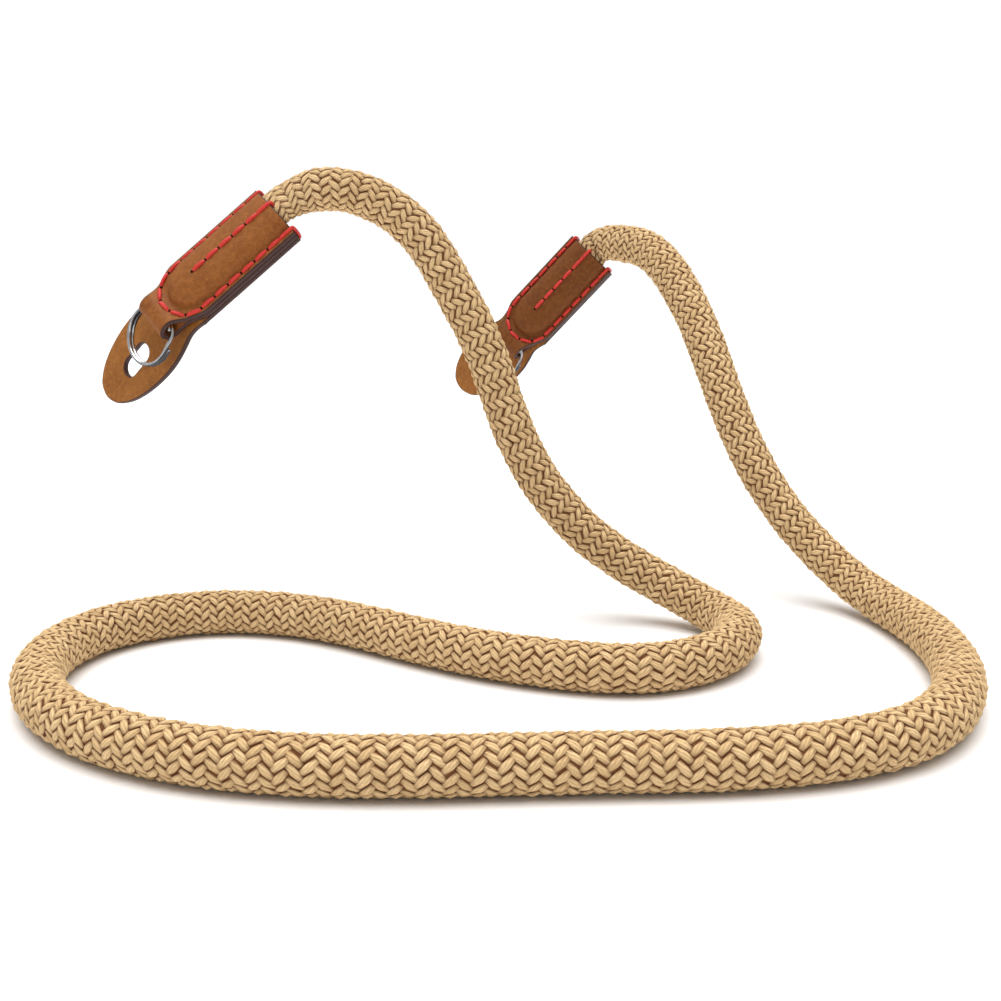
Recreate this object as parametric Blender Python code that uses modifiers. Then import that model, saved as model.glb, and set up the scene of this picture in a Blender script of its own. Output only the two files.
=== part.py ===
"""A camera neck strap: a round braided rope with a leather end, a split ring and a guard at each side.

Metres, +Z up, +Y away from the wearer's view. The origin is where the left ring bears on what it
hangs from, and +X runs to the same point of the right ring. Each leather end is modelled in its own
frame: the ring's wire passes through the fold near that frame's origin, x runs across the strip,
y from the fold to the rope's mouth, and z out of the stitched face.
"""
import math

import bmesh
import bpy
import numpy as np
from mathutils import Euler, Matrix, Vector

# Rope
ROPE_DIAMETER = 0.0100
ROPE_STEP = 0.0125
ROPE_LEAD = 0.0020
ROPE_SAMPLES = 20
ROPE_ROUNDNESS = 3

# Leather
LEATHER = 0.0011
GAP = 0.00025
STRIP_WIDTH = 0.0164
NECK_WIDTH = 0.0100
NECK_START = -0.0003
NECK_END = 0.0090
SLEEVE_LENGTH = 0.0350

# Fold round the ring
FOLD_INNER_REACH = 0.00215
FOLD_INNER_HEIGHT = 0.0017
FOLD_CENTRE = -0.0003
FOLD_SETTLE = 0.0045
FOLD_STEPS = 8

# Bulge of the cover over the rope's end
BULGE_HALF_WIDTH = 0.0062
BULGE_HEIGHT = 0.0031
BULGE_FOOT = 0.0009
BULGE_START = 0.0038
BULGE_NOSE = 0.0082
BULGE_LEAST_WIDTH = 0.0032

# Rope end inside the cover
ROPE_END_SIDE_CLEARANCE = 0.00055
ROPE_END_THICKNESS = 0.0028
ROPE_END_SIDES = 24
ROPE_END_SHARP_ANGLE = 40

# Split ring
RING_WIRE = 0.0009
WIRE_ROUNDNESS = 2
RING_TURNS = 2
RING_RADIUS = 0.0068
RING_PITCH = 0.0010
RING_SEAT_Y = 0.00063
RING_SEAT_Z = 0.00045
RING_STEP_ANGLE = 15
RING_JOG_ANGLE = 62
RING_JOG_HALF = 18
SWING = 25

# Guard
GUARD_BEND_Y = 0.0059
GUARD_BEND_LENGTH = 0.0026
GUARD_TONGUE = 0.0335
GUARD_HALF_WIDTH = 0.0096
GUARD_TURN = 10
SLOT_WIDTH = 0.0048
SLOT_LENGTH = 0.0098
SLOT_CENTRE = 0.0202
SLOT_SIDES = 24
SLOT_CUT = 0.0060

# Half section of the bulge: share of its half width, share of its height
BULGE_SECTION = (
    (0.00, 1.000),
    (0.32, 0.975),
    (0.62, 0.870),
    (0.85, 0.640),
    (0.96, 0.360),
    (1.00, 0.100),
)

# Rows of the cover from the mouth to the neck: share of the sleeve's length
COVER_ROWS = (1.0, 0.86, 0.72, 0.57, 0.46, 0.37, 0.31, 0.26, 0.22, 0.185, 0.155, 0.128, 0.10, 0.07, 0.03)
BACK_ROWS = (0.03, 0.07, 0.10, 0.128, 0.26, 0.60, 1.0)

# Outline of the guard's tongue: share of its length, share of its half width
TONGUE_OUTLINE = (
    (0.00, 0.85),
    (0.08, 0.79),
    (0.15, 0.79),
    (0.24, 0.88),
    (0.35, 0.97),
    (0.47, 1.00),
    (0.60, 0.96),
    (0.72, 0.87),
    (0.83, 0.73),
    (0.91, 0.56),
    (0.97, 0.35),
    (1.00, 0.14),
)
GUARD_COLUMNS = (-1.0, -0.75, -0.4, 0.0, 0.4, 0.75, 1.0)
GUARD_FLAT_ROWS = (1.0, 0.6, 0.3)

# Where each leather end sits: side, location in metres, turns about X, Y and Z in degrees, and the
# space between its mouth and the middle of the rope's cut face, in metres
END_PLACES = (
    ("left", (0.00249, -0.00722, 0.00975), (54.49, 36.63, -89.29), 0.0016),
    ("right", (0.12588, -0.00841, 0.00002), (76.59, 41.63, -75.39), 0.0031),
)

# Points that the rope passes through between its two mouths, in millimetres
ROPE_ROUTE_MM = (
    (30.0, -33.0, 38.0),
    (37.0, -40.5, 36.0),
    (43.3, -48.2, 29.1),
    (48.1, -55.7, 15.9),
    (51.6, -62.4, 1.4),
    (54.1, -68.1, -15.2),
    (58.9, -74.9, -30.6),
    (66.5, -85.0, -43.6),
    (73.3, -97.7, -52.1),
    (73.4, -112.7, -56.9),
    (62.2, -125.0, -56.9),
    (44.8, -128.7, -56.9),
    (29.3, -122.3, -56.9),
    (20.5, -108.0, -56.9),
    (15.6, -88.5, -56.9),
    (14.0, -65.0, -56.9),
    (10.5, -42.0, -56.9),
    (-3.0, -23.0, -56.9),
    (-25.5, -19.0, -56.9),
    (-46.3, -33.0, -56.9),
    (-55.9, -51.4, -56.9),
    (-58.0, -75.0, -56.9),
    (-51.5, -97.5, -56.9),
    (-38.5, -117.5, -56.9),
    (-17.9, -139.5, -56.9),
    (4.4, -162.3, -56.9),
    (31.7, -176.3, -56.9),
    (56.8, -173.8, -56.9),
    (79.2, -162.9, -56.9),
    (96.5, -149.0, -56.9),
    (110.0, -131.0, -55.1),
    (114.0, -112.5, -44.1),
    (115.5, -97.5, -27.6),
    (119.0, -86.5, -11.2),
    (124.3, -76.2, 3.9),
    (129.7, -65.5, 15.9),
    (134.2, -55.8, 23.6),
    (137.0, -48.7, 26.8),
    (139.0, -40.5, 28.4),
)

# Directions in which the rope leaves the left mouth and comes back into the right one
ROPE_LEAVES = (0.635, -0.549, 0.543)
ROPE_RETURNS = (-0.150, 0.921, -0.360)

# Colours: red, green, blue, then roughness and metallic
FINISHES = {
    "rope": ((0.50, 0.33, 0.17), 0.85, 0.0),
    "cover": ((0.30, 0.12, 0.045), 0.65, 0.0),
    "guard": ((0.29, 0.11, 0.035), 0.68, 0.0),
    "ring": ((0.75, 0.75, 0.76), 0.15, 1.0),
    "rope_end": ((0.50, 0.33, 0.17), 0.85, 0.0),
}

FRONT_MID = (GAP + LEATHER) / 2
FOLD_MID_REACH = FOLD_INNER_REACH + LEATHER / 2
FOLD_MID_HEIGHT = FOLD_INNER_HEIGHT + LEATHER / 2
GUARD_MID = FRONT_MID + LEATHER + GAP
CREST_MID = FRONT_MID + BULGE_HEIGHT
NOSE_END = BULGE_START + BULGE_NOSE
ROPE_HEIGHT = (CREST_MID - LEATHER / 2 - GAP + GAP / 2) / 2


def clear_scene():
    for obj in list(bpy.data.objects):
        bpy.data.objects.remove(obj, do_unlink=True)


def new_collection(name):
    collection = bpy.data.collections.new(name)
    bpy.context.scene.collection.children.link(collection)
    return collection


def finish(name):
    """The Principled material of one kind of piece."""
    colour, roughness, metallic = FINISHES[name]
    material = bpy.data.materials.new(name)
    material.use_nodes = True
    shader = material.node_tree.nodes["Principled BSDF"]
    shader.inputs["Base Color"].default_value = (*colour, 1.0)
    shader.inputs["Roughness"].default_value = roughness
    shader.inputs["Metallic"].default_value = metallic
    return material


def ease(share):
    """Run smoothly from 0 to 1 as the share does."""
    share = min(max(share, 0.0), 1.0)
    return share * share * (3 - 2 * share)


def mix(low, high, share):
    return low + (high - low) * share


def read_table(table, share):
    """Read the second column of a table at a share of the first, with straight runs between rows."""
    return float(np.interp(share, [row[0] for row in table], [row[1] for row in table]))


def strip_half_width(y):
    """Half the strip's width: full over the sleeve, narrower at the neck and round the fold."""
    share = ease((y - NECK_START) / (NECK_END - NECK_START))
    return mix(NECK_WIDTH, STRIP_WIDTH, share) / 2


def layer_height(y):
    """Height of the front layer's middle: the fold's height at the ring, flat on the back layer above."""
    return mix(FOLD_MID_HEIGHT, FRONT_MID, ease((y - FOLD_CENTRE) / FOLD_SETTLE))


def bulge_height(x, y):
    """How far the rope's end lifts the front layer, with a rounded nose towards the ring."""
    nose = max(0.0, NOSE_END - y) / BULGE_NOSE
    across = math.hypot(x / BULGE_HALF_WIDTH, nose)
    foot = 1 + BULGE_FOOT / BULGE_HALF_WIDTH
    section = BULGE_SECTION + ((foot, 0.0),)
    return BULGE_HEIGHT * read_table(section, across)


def cover_columns(y):
    """Places across the strip at one row: its edges, the foot of the bulge and the bulge's section."""
    edge = strip_half_width(y)
    nose = min(max(0.0, NOSE_END - y) / BULGE_NOSE, 1.0)
    width = max(BULGE_HALF_WIDTH * math.sqrt(1 - nose * nose), BULGE_LEAST_WIDTH)
    foot = width + min(BULGE_FOOT, (edge - width) / 2)
    half = [width * row[0] for row in BULGE_SECTION] + [foot, edge]
    return [-x for x in half[:0:-1]] + half


def cover_rows():
    """The strip's middle surface, row by row: down the front, round the fold and up the back."""
    rows = []
    for share in COVER_ROWS:
        y = SLEEVE_LENGTH * share
        rows.append([(x, y, layer_height(y) + bulge_height(x, y)) for x in cover_columns(y)])
    columns = cover_columns(FOLD_CENTRE)
    for step in range(FOLD_STEPS + 1):
        angle = math.pi * step / FOLD_STEPS
        y = FOLD_CENTRE - FOLD_MID_REACH * math.sin(angle)
        z = FOLD_MID_HEIGHT * math.cos(angle)
        rows.append([(x, y, z) for x in columns])
    for share in BACK_ROWS:
        y = SLEEVE_LENGTH * share
        rows.append([(x, y, -layer_height(y)) for x in cover_columns(y)])
    return rows


def guard_path(run):
    """Middle of the guard at a run down from the bend's start: y, z. A run below 0 is on the sleeve."""
    start = GUARD_BEND_Y + GUARD_BEND_LENGTH / 2
    if run <= 0:
        return start - run, -GUARD_MID
    turn = math.radians(SWING)
    radius = GUARD_BEND_LENGTH / turn
    angle = min(run, GUARD_BEND_LENGTH) / radius
    beyond = max(run - GUARD_BEND_LENGTH, 0.0)
    y = start - radius * math.sin(angle) - beyond * math.cos(turn)
    z = -GUARD_MID - radius * (1 - math.cos(angle)) - beyond * math.sin(turn)
    return y, z


def guard_rows():
    """The guard's middle surface: flat behind the sleeve, bent back, then a rounded tongue."""
    rows = []
    start = GUARD_BEND_Y + GUARD_BEND_LENGTH / 2
    for share in GUARD_FLAT_ROWS:
        y = mix(start, SLEEVE_LENGTH, share)
        rows.append([(x * STRIP_WIDTH / 2, y, -GUARD_MID) for x in GUARD_COLUMNS])
    half = GUARD_BEND_LENGTH / 2
    for share, width in TONGUE_OUTLINE:
        along = share * GUARD_TONGUE
        y, z = guard_path(along + half)
        shift = -along * math.tan(math.radians(GUARD_TURN))
        rows.append([(x * width * GUARD_HALF_WIDTH + shift, y, z) for x in GUARD_COLUMNS])
    y, z = guard_path(0.0)
    rows.insert(len(GUARD_FLAT_ROWS), [(x * STRIP_WIDTH / 2, y, z) for x in GUARD_COLUMNS])
    return rows


def add_object(name, mesh, material, collection, parent):
    mesh.materials.append(material)
    obj = bpy.data.objects.new(name, mesh)
    obj.parent = parent
    collection.objects.link(obj)
    return obj


def leather_sheet(name, rows, material, collection, parent):
    """A wall of leather about a grid of points, one row after another."""
    mesh = bpy.data.meshes.new(name)
    build = bmesh.new()
    grid = [[build.verts.new(point) for point in row] for row in rows]
    for low, high in zip(grid, grid[1:]):
        for left in range(len(low) - 1):
            build.faces.new((low[left], high[left], high[left + 1], low[left + 1]))
    build.to_mesh(mesh)
    build.free()
    mesh.shade_smooth()
    obj = add_object(name, mesh, material, collection, parent)
    wall = obj.modifiers.new("Leather", "SOLIDIFY")
    wall.thickness = LEATHER
    wall.offset = 0.0
    wall.use_even_offset = True
    return obj


def slot_cutter(name, collection, parent):
    """A rounded bar that cuts the guard's slot square to its tongue."""
    build = bmesh.new()
    bmesh.ops.create_cone(
        build,
        cap_ends=True,
        segments=SLOT_SIDES,
        radius1=SLOT_WIDTH / 2,
        radius2=SLOT_WIDTH / 2,
        depth=SLOT_CUT,
    )
    reach = (SLOT_LENGTH - SLOT_WIDTH) / 2
    for vert in build.verts:
        vert.co.y += reach if vert.co.y > 0 else -reach
    mesh = bpy.data.meshes.new(name)
    build.to_mesh(mesh)
    build.free()
    cutter = bpy.data.objects.new(name, mesh)
    y, z = guard_path(SLOT_CENTRE + GUARD_BEND_LENGTH / 2)
    shift = -SLOT_CENTRE * math.tan(math.radians(GUARD_TURN))
    cutter.parent = parent
    cutter.location = (shift, y, z)
    cutter.rotation_euler = (math.radians(SWING), 0, 0)
    cutter.hide_render = True
    cutter.display_type = "WIRE"
    collection.objects.link(cutter)
    return cutter


def tube(name, points, radius, material, collection, parent):
    """A round wire or rope through the points, with filled caps."""
    curve = bpy.data.curves.new(name, "CURVE")
    curve.dimensions = "3D"
    curve.bevel_depth = radius
    curve.use_fill_caps = True
    spline = curve.splines.new("POLY")
    spline.points.add(len(points) - 1)
    for point, place in zip(spline.points, points):
        point.co = (*place, 1.0)
    return add_object(name, curve, material, collection, parent)


def ring_points():
    """Flat turns of wire side by side, with a short step between them, in the ring's own frame."""
    first = RING_JOG_ANGLE + RING_JOG_HALF
    last = RING_JOG_ANGLE + 360 * RING_TURNS - RING_JOG_HALF
    steps = round((last - first) / RING_STEP_ANGLE)
    points = []
    for step in range(steps + 1):
        angle = mix(first, last, step / steps)
        share = (angle - RING_JOG_ANGLE - 360 + RING_JOG_HALF) / (2 * RING_JOG_HALF)
        height = RING_PITCH * (ease(share) - 0.5)
        turn = math.radians(angle)
        points.append((RING_RADIUS * math.sin(turn), RING_RADIUS * math.cos(turn), height))
    return points


def make_cover(side, materials, collection, parent):
    return leather_sheet(side + "_cover", cover_rows(), materials["cover"], collection, parent)


def make_guard(side, materials, collection, cutters, parent):
    guard = leather_sheet(side + "_guard", guard_rows(), materials["guard"], collection, parent)
    cut = guard.modifiers.new("Slot", "BOOLEAN")
    cut.object = slot_cutter(side + "_slot", cutters, parent)
    cut.operation = "DIFFERENCE"
    return guard


def make_ring(side, materials, collection, parent):
    """The ring swings back about its wire in the fold; its own origin is its centre."""
    ring = tube(side + "_ring", ring_points(), RING_WIRE / 2, materials["ring"], collection, parent)
    ring.data.bevel_resolution = WIRE_ROUNDNESS
    swing = math.radians(SWING)
    ring.location = (
        0.0,
        RING_SEAT_Y - RING_RADIUS * math.cos(swing),
        RING_SEAT_Z - RING_RADIUS * math.sin(swing),
    )
    ring.rotation_euler = (swing, 0, 0)
    return ring


def make_rope_end(side, materials, collection, parent):
    """The flattened rope inside the cover, from the mouth to the bulge's nose."""
    half_width = BULGE_HALF_WIDTH - LEATHER / 2 - ROPE_END_SIDE_CLEARANCE
    length = SLEEVE_LENGTH - NOSE_END
    build = bmesh.new()
    bmesh.ops.create_cone(
        build, cap_ends=True, segments=ROPE_END_SIDES, radius1=1.0, radius2=1.0, depth=1.0
    )
    oval = Matrix.Diagonal((half_width, ROPE_END_THICKNESS / 2, length, 1.0))
    stand = Matrix.Rotation(math.radians(-90), 4, "X")
    place = Matrix.Translation((0.0, NOSE_END + length / 2, ROPE_HEIGHT))
    bmesh.ops.transform(build, matrix=place @ stand @ oval, verts=build.verts)
    mesh = bpy.data.meshes.new(side + "_rope_end")
    build.to_mesh(mesh)
    build.free()
    mesh.shade_smooth()
    mesh.set_sharp_from_angle(angle=math.radians(ROPE_END_SHARP_ANGLE))
    return add_object(side + "_rope_end", mesh, materials["rope_end"], collection, parent)


def mouth_point(location, turns, space):
    """Where the rope's middle leaves a leather end, in the part's frame."""
    frame = Euler([math.radians(turn) for turn in turns]).to_matrix()
    return Vector(location) + frame @ Vector((0.0, SLEEVE_LENGTH + space, ROPE_HEIGHT))


def spline_slopes(points, knots, leaves, returns):
    """Slopes at the points of the cubic spline that leaves and returns in the given directions."""
    spans = np.diff(knots)
    rises = np.diff(points, axis=0) / spans[:, None]
    count = len(points)
    matrix = np.eye(count)
    wanted = np.zeros((count, 3))
    wanted[0] = leaves
    wanted[-1] = returns
    for row in range(1, count - 1):
        before, after = spans[row - 1], spans[row]
        matrix[row, row - 1 : row + 2] = (after, 2 * (before + after), before)
        wanted[row] = 3 * (after * rises[row - 1] + before * rises[row])
    return np.linalg.solve(matrix, wanted)


def rope_points():
    """Even steps along one smooth curve through the route, with a short lead at each mouth."""
    ends = [mouth_point(location, turns, space) for _, location, turns, space in END_PLACES]
    route = [tuple(value / 1000 for value in point) for point in ROPE_ROUTE_MM]
    points = np.array([ends[0], *route, ends[1]])
    knots = np.concatenate(([0.0], np.cumsum(np.linalg.norm(np.diff(points, axis=0), axis=1))))
    slopes = spline_slopes(points, knots, ROPE_LEAVES, ROPE_RETURNS)
    fine = []
    for row in range(len(points) - 1):
        span = knots[row + 1] - knots[row]
        for share in np.linspace(0, 1, ROPE_SAMPLES, endpoint=False):
            rise = share * share * (3 - 2 * share)
            start = points[row] + (points[row + 1] - points[row]) * rise
            lean = slopes[row] * share * (1 - share) ** 2 - slopes[row + 1] * share**2 * (1 - share)
            fine.append(start + lean * span)
    fine.append(points[-1])
    fine = np.array(fine)
    runs = np.concatenate(([0.0], np.cumsum(np.linalg.norm(np.diff(fine, axis=0), axis=1))))
    steps = round((runs[-1] - 2 * ROPE_LEAD) / ROPE_STEP)
    inner = np.linspace(ROPE_LEAD, runs[-1] - ROPE_LEAD, steps + 1)
    stops = np.concatenate(([0.0], inner, [runs[-1]]))
    return np.stack([np.interp(stops, runs, fine[:, axis]) for axis in range(3)], axis=1)


def make_rope(materials, collection):
    rope = tube("rope", rope_points(), ROPE_DIAMETER / 2, materials["rope"], collection, None)
    rope.data.bevel_resolution = ROPE_ROUNDNESS
    return rope


def make_strap():
    clear_scene()
    collection = new_collection("camera_neck_strap")
    cutters = new_collection("cutters")
    materials = {name: finish(name) for name in FINISHES}
    make_rope(materials, collection)
    for side, location, turns, _ in END_PLACES:
        place = bpy.data.objects.new(side + "_end", None)
        place.location = location
        place.rotation_euler = [math.radians(turn) for turn in turns]
        collection.objects.link(place)
        make_cover(side, materials, collection, place)
        make_guard(side, materials, collection, cutters, place)
        make_ring(side, materials, collection, place)
        make_rope_end(side, materials, collection, place)


make_strap()
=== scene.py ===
"""A camera neck strap: a round braided rope with stitched leather ends, split rings and leather guards.

Metres, +Z up. The origin is where the left ring bears on what it hangs from, and +X runs to the same
point of the right ring. Each leather end has its own frame: x across the strip, y from the fold round
the ring to the rope's mouth, and z out of the stitched face.
"""
import math

import bmesh
import bpy
import numpy as np
from mathutils import Euler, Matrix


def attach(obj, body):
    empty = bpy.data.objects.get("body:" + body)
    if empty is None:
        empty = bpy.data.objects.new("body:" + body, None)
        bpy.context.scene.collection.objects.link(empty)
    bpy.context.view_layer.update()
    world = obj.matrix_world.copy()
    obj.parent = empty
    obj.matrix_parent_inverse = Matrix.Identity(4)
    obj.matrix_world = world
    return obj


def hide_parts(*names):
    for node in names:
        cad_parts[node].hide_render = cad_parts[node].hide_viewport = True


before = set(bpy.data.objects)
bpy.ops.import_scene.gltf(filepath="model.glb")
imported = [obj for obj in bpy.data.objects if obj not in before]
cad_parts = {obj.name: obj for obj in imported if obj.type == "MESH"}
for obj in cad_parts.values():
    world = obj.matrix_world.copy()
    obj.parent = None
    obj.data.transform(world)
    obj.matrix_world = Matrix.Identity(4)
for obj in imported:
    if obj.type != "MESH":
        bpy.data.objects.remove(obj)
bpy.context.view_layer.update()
BODY = "root"

# Camera, floor and light: a wide pale table in a white room, under a very broad light from straight
# above and a large soft one. The rope's long loop lies on the table and the two ends stand up from it.

CAMERA_PLACE = (-0.15902, -0.24694, 0.01645)
CAMERA_TURNS = (79.82, 0.0, -49.51)
CAMERA_LENS = 43.157
CAMERA_NEAR = 0.005
FLOOR_HEIGHT = -0.06195
FLOOR_HALF = 6.0
ROOM_COLOUR = (1.0, 1.0, 1.0)
ROOM_STRENGTH = 0.44
ROOM_SEEN = 1.0
SKYLIGHT_STRENGTH = 2.9
SKYLIGHT_SPREAD = 70
TOP_LIGHT_PLACE = (-0.15, 0.05, 1.10)
TOP_LIGHT_SIZE = 1.1
TOP_LIGHT_POWER = 4.0
TABLE_TONES = ((0.96, 0.96, 0.96), (0.98, 0.98, 0.98))

scene = bpy.context.scene
scene.view_settings.view_transform = "Standard"
camera_data = bpy.data.cameras.new("photo_camera")
camera_data.lens = CAMERA_LENS
camera_data.clip_start = CAMERA_NEAR
camera = bpy.data.objects.new("photo_camera", camera_data)
camera.location = CAMERA_PLACE
camera.rotation_euler = [math.radians(turn) for turn in CAMERA_TURNS]
scene.collection.objects.link(camera)
scene.camera = camera


class Socket:
    """One output in a node tree. Arithmetic on it adds Math nodes, and node() adds any other kind."""

    def __init__(self, tree, output=None):
        self.tree = tree
        self.output = output

    def node(self, kind, output, settings=None, values=None):
        """A new node: its settings first, then the values or links of its sockets, by name or number."""
        made = self.tree.nodes.new(kind)
        for name, value in (settings or {}).items():
            setattr(made, name, value)
        for key, value in (values or {}).items():
            into = self.pick(made.inputs, key)
            if isinstance(value, Socket):
                self.tree.links.new(value.output, into)
            else:
                into.default_value = value
        return Socket(self.tree, self.pick(made.outputs, output))

    @staticmethod
    def pick(sockets, key):
        if isinstance(key, int):
            return sockets[key]
        return next(socket for socket in sockets if socket.name == key and socket.enabled)

    def math(self, operation, first, second):
        return self.node("ShaderNodeMath", 0, {"operation": operation}, {0: first, 1: second})

    def __add__(self, other):
        return self.math("ADD", self, other)

    __radd__ = __add__

    def __sub__(self, other):
        return self.math("SUBTRACT", self, other)

    def __rsub__(self, other):
        return self.math("SUBTRACT", other, self)

    def __mul__(self, other):
        return self.math("MULTIPLY", self, other)

    __rmul__ = __mul__

    def __truediv__(self, other):
        return self.math("DIVIDE", self, other)


def new_material(name):
    """A material, the socket from which its nodes are made, and the place of each point of a piece."""
    material = bpy.data.materials.new(name)
    material.use_nodes = True
    start = Socket(material.node_tree)
    return material, start, start.node("ShaderNodeTexCoord", "Object")


def noise(start, where, scale, detail=3.0, roughness=0.55):
    values = {"Vector": where, "Scale": scale, "Detail": detail, "Roughness": roughness}
    return start.node("ShaderNodeTexNoise", "Fac", None, values)


def blend(start, low, high, share):
    """A colour between two others."""
    low, high = [(*side, 1.0) if isinstance(side, tuple) else side for side in (low, high)]
    return start.node("ShaderNodeMix", 2, {"data_type": "RGBA"}, {0: share, 6: low, 7: high})


def squeeze(start, value, low, high):
    """0 where a value is at its low end, 1 at its high end, held there past both."""
    values = {"Value": value, "From Min": low, "From Max": high}
    return start.node("ShaderNodeMapRange", "Result", {"interpolation_type": "SMOOTHSTEP"}, values)


def dress(material, start, colour, roughness, height, depth, shine=0.5, metal=0.0):
    """Join a material's pattern to its shader. Depth is what a height of 1 stands for, in metres."""
    shader = material.node_tree.nodes["Principled BSDF"]
    shader.inputs["Specular IOR Level"].default_value = shine
    shader.inputs["Metallic"].default_value = metal
    links = material.node_tree.links
    links.new(colour.output, shader.inputs["Base Color"])
    links.new(roughness.output, shader.inputs["Roughness"])
    bump = {"Height": height, "Distance": depth, "Strength": 1.0}
    links.new(start.node("ShaderNodeBump", "Normal", None, bump).output, shader.inputs["Normal"])
    return material


def plain_material(name, tones, grain, rough, depth, shine, cloud=None):
    """Two tones by a fine grain of some scale and detail, with clouds mixed in by a share."""
    material, start, where = new_material(name)
    fine = noise(start, where, *grain)
    tone = fine
    if cloud:
        scale, detail, share = cloud
        tone = noise(start, where, scale, detail) * share + fine * (1 - share)
    return dress(material, start, blend(start, *tones, tone), rough[0] + rough[1] * fine, fine, depth, shine)


def add_piece(name, vertices, faces, materials, face_materials=None, closed=True):
    """A smooth mesh object at the origin, with its place in its mesh. A closed one faces outwards."""
    mesh = bpy.data.meshes.new(name)
    mesh.from_pydata([tuple(point) for point in vertices], [], [tuple(face) for face in faces])
    for material in materials:
        mesh.materials.append(material)
    if face_materials is not None:
        mesh.polygons.foreach_set("material_index", face_materials)
    mesh.shade_smooth()
    mesh.update()
    if closed:
        work = bmesh.new()
        work.from_mesh(mesh)
        bmesh.ops.recalc_face_normals(work, faces=work.faces)
        work.to_mesh(mesh)
        work.free()
    piece = bpy.data.objects.new(name, mesh)
    scene.collection.objects.link(piece)
    return piece


world = bpy.data.worlds.new("room")
world.use_nodes = True
room = world.node_tree.nodes["Background"]
room.inputs["Color"].default_value = (*ROOM_COLOUR, 1.0)
seen = Socket(world.node_tree).node("ShaderNodeLightPath", "Is Camera Ray")
strength = ROOM_STRENGTH + seen * (ROOM_SEEN - ROOM_STRENGTH)
world.node_tree.links.new(strength.output, room.inputs["Strength"])
scene.world = world

skylight = bpy.data.lights.new("skylight", "SUN")
skylight.energy = SKYLIGHT_STRENGTH
skylight.angle = math.radians(SKYLIGHT_SPREAD)
scene.collection.objects.link(bpy.data.objects.new("skylight", skylight))
top_light = bpy.data.lights.new("top_light", "AREA")
top_light.size = TOP_LIGHT_SIZE
top_light.energy = TOP_LIGHT_POWER
lamp = bpy.data.objects.new("top_light", top_light)
lamp.location = TOP_LIGHT_PLACE
scene.collection.objects.link(lamp)

table_material, start, where = new_material("pale_table")
cloud = noise(start, where, 3.0, 2.0)
colour = blend(start, *TABLE_TONES, cloud)
dress(table_material, start, colour, 0.55 + 0.1 * cloud, noise(start, where, 400.0), 0.00002, 0.2)
corners = [(x * FLOOR_HALF, y * FLOOR_HALF, FLOOR_HEIGHT) for x, y in ((-1, -1), (1, -1), (1, 1), (-1, 1))]
table = add_piece("pale_table", corners, [(0, 1, 2, 3)], [table_material], closed=False)

# Rope: one length of round cotton braid, sand brown, worked of soft twisted yarns that pass over and
# under each other in a herringbone. It leaves each leather end's mouth, where it is pressed flat, hangs
# down from both and lies in a wide loop and a small one on the table.

ROPE_RADIUS = 0.0050
ROPE_HEIGHT = 0.00155
ROPE_TUCK = 0.0040
ROPE_FLAT = 0.30
ROPE_NARROW = 1.05
ROPE_ROUND_AFTER = 0.011
SLEEVE_LENGTH = 0.0350
LINE_STEP = 0.0005
SPLINE_STEPS = 30

# Where each leather end sits: side, location in metres, turns about X, Y and Z in degrees, and the
# space between its mouth and the end of the free rope, in metres
END_PLACES = (
    ("left", (0.00249, -0.00722, 0.00975), (54.49, 36.63, -89.29), 0.0016),
    ("right", (0.12588, -0.00841, 0.00002), (76.59, 41.63, -75.39), 0.0031),
)
ROPE_LEAVES = (0.635, -0.549, 0.543)
ROPE_RETURNS = (-0.150, 0.921, -0.360)

# Points that the rope passes through between its two mouths, in metres
ROPE_ROUTE = (
    (0.0300, -0.0330, 0.0380),
    (0.0370, -0.0405, 0.0360),
    (0.0433, -0.0482, 0.0291),
    (0.0481, -0.0557, 0.0159),
    (0.0516, -0.0624, 0.0014),
    (0.0541, -0.0681, -0.0152),
    (0.0589, -0.0749, -0.0306),
    (0.0665, -0.0850, -0.0436),
    (0.0733, -0.0977, -0.0521),
    (0.0734, -0.1127, -0.0569),
    (0.0622, -0.1250, -0.0569),
    (0.0448, -0.1287, -0.0569),
    (0.0293, -0.1223, -0.0569),
    (0.0205, -0.1080, -0.0569),
    (0.0156, -0.0885, -0.0569),
    (0.0140, -0.0650, -0.0569),
    (0.0105, -0.0420, -0.0569),
    (-0.0030, -0.0230, -0.0569),
    (-0.0255, -0.0190, -0.0569),
    (-0.0463, -0.0330, -0.0569),
    (-0.0559, -0.0514, -0.0569),
    (-0.0580, -0.0750, -0.0569),
    (-0.0515, -0.0975, -0.0569),
    (-0.0385, -0.1175, -0.0569),
    (-0.0179, -0.1395, -0.0569),
    (0.0044, -0.1623, -0.0569),
    (0.0317, -0.1763, -0.0569),
    (0.0568, -0.1738, -0.0569),
    (0.0792, -0.1629, -0.0569),
    (0.0965, -0.1490, -0.0569),
    (0.1100, -0.1310, -0.0551),
    (0.1140, -0.1125, -0.0441),
    (0.1155, -0.0975, -0.0276),
    (0.1190, -0.0865, -0.0112),
    (0.1243, -0.0762, 0.0039),
    (0.1297, -0.0655, 0.0159),
    (0.1342, -0.0558, 0.0236),
    (0.1370, -0.0487, 0.0268),
    (0.1390, -0.0405, 0.0284),
)

# How much thicker the rope looks towards its tight bend at the right: share of its length, share more
ROPE_SWELL = (
    (0.86, 0.00),
    (0.92, 0.05),
    (0.97, 0.09),
    (1.00, 0.09),
)

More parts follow.
